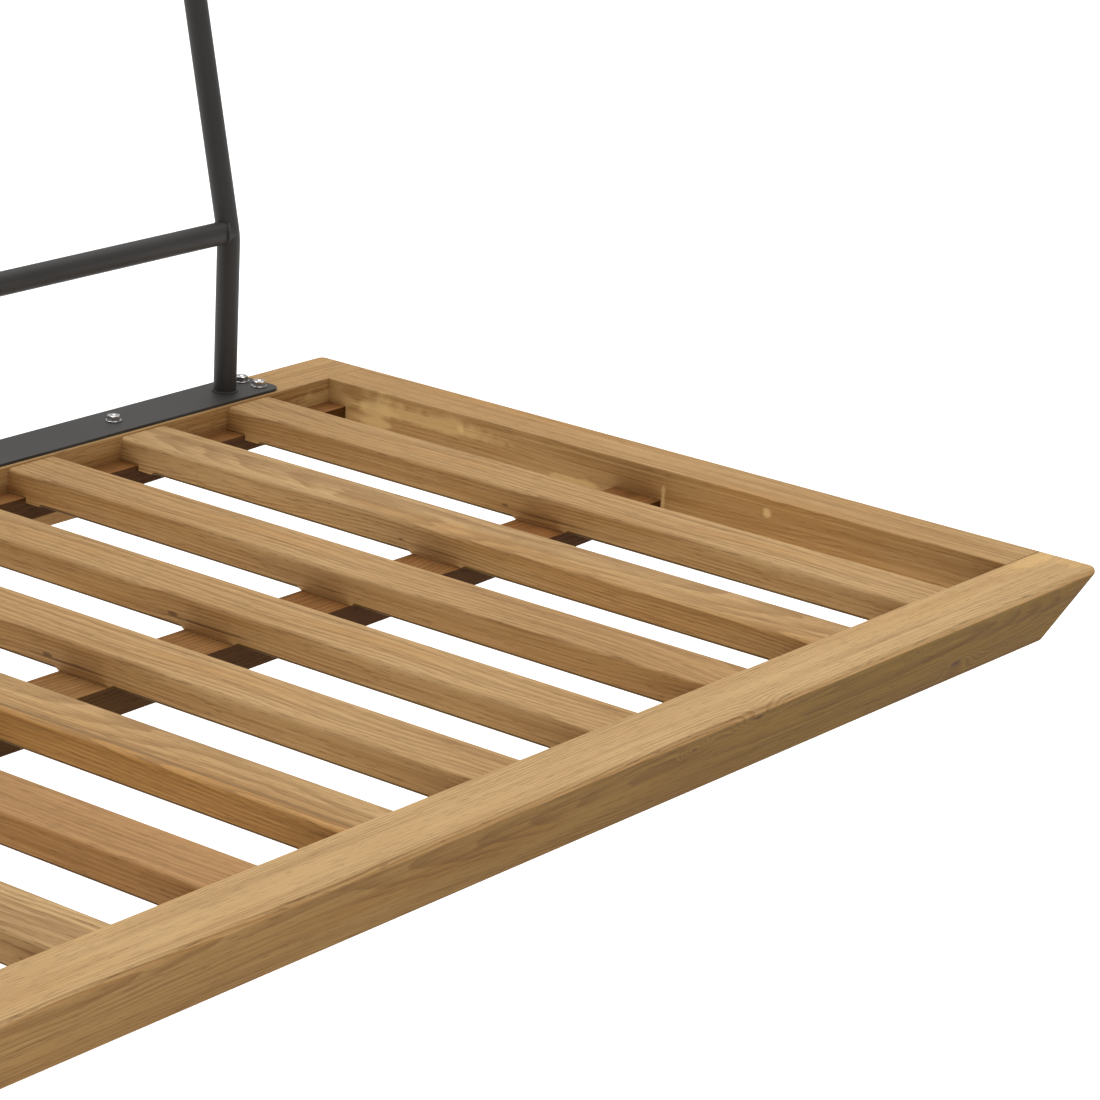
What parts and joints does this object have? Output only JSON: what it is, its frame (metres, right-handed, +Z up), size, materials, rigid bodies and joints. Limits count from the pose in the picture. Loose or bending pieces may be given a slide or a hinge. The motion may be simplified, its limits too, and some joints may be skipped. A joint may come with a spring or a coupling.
{
  "type": "porch swing",
  "caption": "Hanging daybed swing: a slatted teak platform with undercut rails, a leaning tubular steel back frame and corner shackles that take ropes",
  "frame": {"origin": "bottom centre of the whole swing, on the plane of the rails' undersides", "axes": "+Z up, +X along the length to the left of someone sitting on it, -Y towards the front edge"},
  "size_m": [2.084, 1.0835, 0.6295],
  "materials": {
    "teak_rail": "sanded and oiled teak, satin",
    "teak_slat": "sanded and oiled teak, satin",
    "powder_coat": "charcoal powder coat with a fine texture, matte",
    "stainless": "bright stainless steel",
    "steel_screw": "plain stainless steel",
    "brass": "plain turned brass"
  },
  "bodies": {
    "platform": {"front_rail": "teak_rail", "rear_rail": "teak_rail", "left_end_rail": "teak_rail", "right_end_rail": "teak_rail", "tenon_pins": "teak_rail", "front_bearer": "teak_rail", "rear_bearer": "teak_rail", "centre_beam": "teak_rail", "slat_01": "teak_slat", "slat_02": "teak_slat", "slat_03": "teak_slat", "slat_04": "teak_slat", "slat_05": "teak_slat", "slat_06": "teak_slat", "slat_07": "teak_slat", "slat_08": "teak_slat", "slat_09": "teak_slat", "slat_10": "teak_slat", "slat_11": "teak_slat", "slat_screws_front": "steel_screw", "slat_screws_centre": "steel_screw", "slat_screws_rear": "steel_screw", "front_bearer_screws": "steel_screw", "rear_bearer_screws": "steel_screw", "base_bar": "powder_coat", "left_upright": "powder_coat", "right_upright": "powder_coat", "crossbar": "powder_coat", "top_rail": "powder_coat", "centre_post_lower": "powder_coat", "centre_post_upper": "powder_coat", "base_welds": "powder_coat", "tube_welds": "powder_coat", "frame_bolts": "stainless", "frame_washers": "stainless", "frame_inserts": "brass", "eye_bolts": "stainless", "wedge_washers": "stainless", "eye_bushes": "brass", "barrel_nuts": "brass"},
    "front_left_shackle": {"shackle_front_left": "stainless", "shackle_pin_front_left": "stainless", "shackle_nut_front_left": "stainless"},
    "rear_left_shackle": {"shackle_rear_left": "stainless", "shackle_pin_rear_left": "stainless", "shackle_nut_rear_left": "stainless"},
    "front_right_shackle": {"shackle_front_right": "stainless", "shackle_pin_front_right": "stainless", "shackle_nut_front_right": "stainless"},
    "rear_right_shackle": {"shackle_rear_right": "stainless", "shackle_pin_rear_right": "stainless", "shackle_nut_rear_right": "stainless"}
  },
  "joints": [
    {"name": "front_left_shackle_hinge", "type": "hinge", "parent": "platform", "child": "front_left_shackle", "pos_m": [-1.028, -0.38021, 0.039], "axis": [0, -1, 0], "range_deg": [-190, 50]},
    {"name": "rear_left_shackle_hinge", "type": "hinge", "parent": "platform", "child": "rear_left_shackle", "pos_m": [-1.028, 0.31979, 0.039], "axis": [0, -1, 0], "range_deg": [-190, 50]},
    {"name": "front_right_shackle_hinge", "type": "hinge", "parent": "platform", "child": "front_right_shackle", "pos_m": [1.028, -0.38021, 0.039], "axis": [0, 1, 0], "range_deg": [-190, 50]},
    {"name": "rear_right_shackle_hinge", "type": "hinge", "parent": "platform", "child": "rear_right_shackle", "pos_m": [1.028, 0.31979, 0.039], "axis": [0, 1, 0], "range_deg": [-190, 50]}
  ]
}
